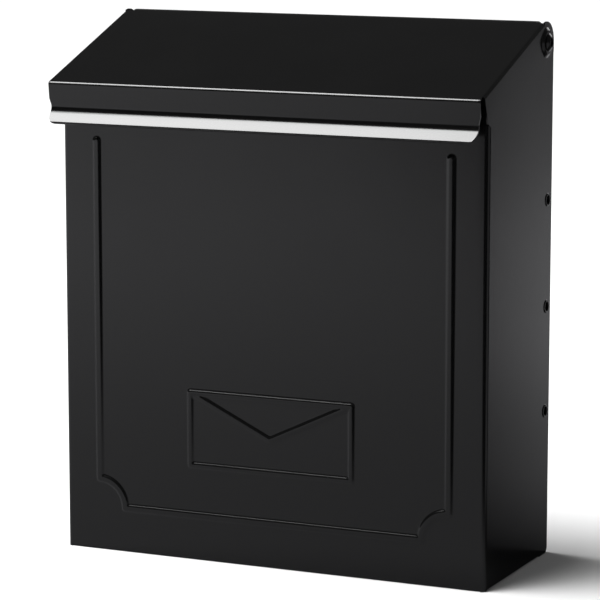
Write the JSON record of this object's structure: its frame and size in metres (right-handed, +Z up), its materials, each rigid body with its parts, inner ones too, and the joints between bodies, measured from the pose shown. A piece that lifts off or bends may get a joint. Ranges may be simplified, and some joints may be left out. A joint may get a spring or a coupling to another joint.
{
  "type": "wall mounted mailbox",
  "caption": "Upright wall mailbox in folded sheet steel, with a sloping hinged lid, a flared pull lip and an embossed front.",
  "frame": {"origin": "centre of the four wall screw holes, in the plane of the wall", "axes": "+X to the right of someone facing the box, +Y into the wall, +Z up"},
  "size_m": [0.2486, 0.1117, 0.2841],
  "materials": {
    "black_coat": "gloss",
    "nylon": "matte",
    "bare_steel": "satin"
  },
  "bodies": {
    "box": {"body_shell": "black_coat", "back_panel": "black_coat", "floor_panel": "black_coat", "hinge_rivet_left": "black_coat", "hinge_rivet_right": "black_coat", "hinge_spacer_left": "nylon", "hinge_spacer_right": "nylon", "hinge_burr_left": "bare_steel", "hinge_burr_right": "bare_steel", "side_rivets_left": "black_coat", "side_rivets_right": "black_coat", "floor_rivets": "black_coat"},
    "lid": {"lid": "black_coat"}
  },
  "joints": [
    {"name": "lid_hinge", "type": "hinge", "parent": "box", "child": "lid", "pos_m": [0, -0.015, 0.1433], "axis": [-1, 0, 0], "range_deg": [0, 105]}
  ]
}
